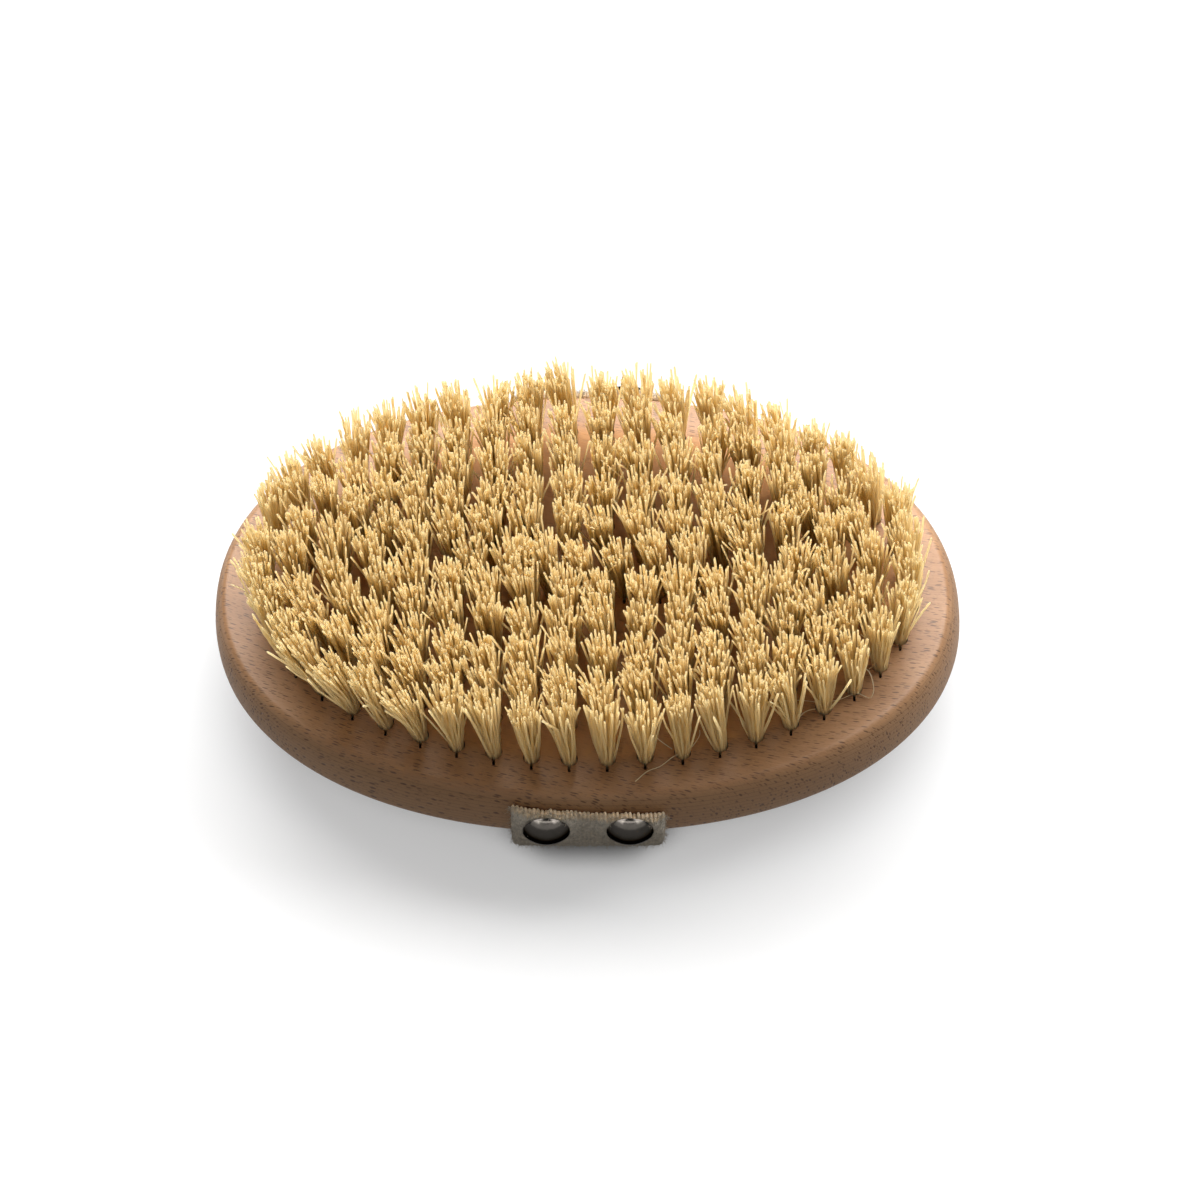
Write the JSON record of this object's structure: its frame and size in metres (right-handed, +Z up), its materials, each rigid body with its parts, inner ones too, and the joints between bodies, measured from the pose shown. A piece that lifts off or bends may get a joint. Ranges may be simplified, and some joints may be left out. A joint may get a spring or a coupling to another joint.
{
  "type": "body brush",
  "caption": "Oval wooden palm brush with rows of plant-fibre tufts on one face and a webbing hand strap nailed across its back.",
  "frame": {"origin": "under the middle of the brush, on the surface that the strap's flat underside rests on", "axes": "+X along the length of the block, +Y across it towards the far side, +Z up, the way the bristles point"},
  "size_m": [0.14, 0.0968, 0.0435],
  "materials": {
    "beech": "sanded beech with fine dark flecks, lightly oiled",
    "plant_fibre": "stiff golden plant fibre with paler cut tips",
    "cotton_webbing": "thick soft undyed cotton webbing",
    "dark_steel": "polished dark steel"
  },
  "bodies": {
    "brush": {"block": "beech", "bristles_row_1": "plant_fibre", "bristles_row_2": "plant_fibre", "bristles_row_3": "plant_fibre", "bristles_middle": "plant_fibre", "tack_near_left": "dark_steel", "tack_near_right": "dark_steel", "tack_far_left": "dark_steel", "tack_far_right": "dark_steel"},
    "strap_loop": {"strap": "cotton_webbing"}
  },
  "joints": [
    {"name": "strap_draw", "type": "slide", "parent": "brush", "child": "strap_loop", "axis": [0, 0, -1], "range_m": [0, 0.02], "stiffness_N_per_m": 120, "deforming": ["strap"]}
  ]
}
